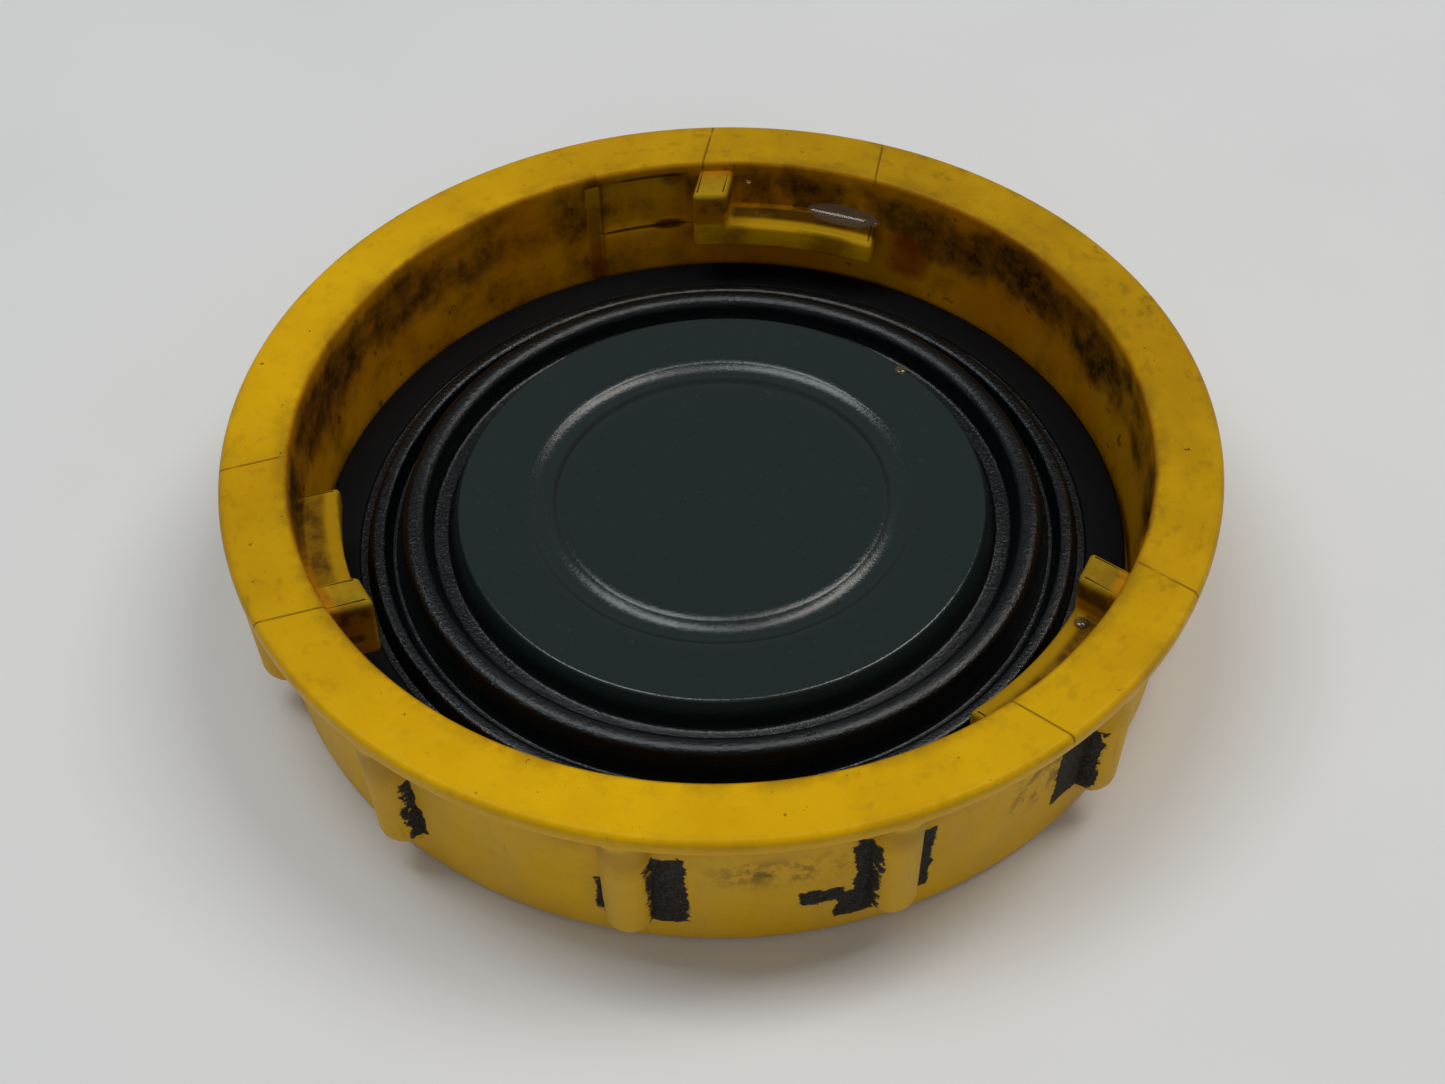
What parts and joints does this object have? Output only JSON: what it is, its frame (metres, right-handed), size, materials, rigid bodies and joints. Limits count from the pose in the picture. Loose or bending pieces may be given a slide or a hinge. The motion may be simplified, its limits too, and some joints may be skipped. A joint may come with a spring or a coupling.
{
  "type": "bayonet reservoir cap",
  "caption": "Round moulded plastic bayonet cap for a fluid reservoir, lying open side up, with grip ribs outside, inner locking lugs and a folded rubber diaphragm.",
  "frame": {"origin": "middle of the closed face's outside, which the cap rests on", "axes": "+Z along the cap's axis, from the closed face to the open side; -Y towards the viewer"},
  "size_m": [0.068, 0.068, 0.0146],
  "materials": {
    "yellow_plastic": "moulded polypropylene, worn satin, grimy in the corners",
    "matte_rubber": "dry matte rubber with fine dust",
    "wet_rubber": "smooth rubber wetted with fluid"
  },
  "bodies": {
    "cap": {"cap_shell": "yellow_plastic"},
    "diaphragm": {"diaphragm_flange": "matte_rubber", "diaphragm_convolution": "wet_rubber"},
    "centre": {"diaphragm_centre": "wet_rubber"}
  },
  "joints": [
    {"name": "diaphragm_turn", "type": "hinge", "parent": "cap", "child": "diaphragm", "pos_m": [0, 0, 0.0045], "axis": [0, 0, 1], "continuous": true},
    {"name": "centre_travel", "type": "slide", "parent": "diaphragm", "child": "centre", "axis": [0, 0, 1], "range_m": [-0.003, 0.004], "stiffness_N_per_m": 120, "deforming": ["diaphragm_convolution"]}
  ]
}
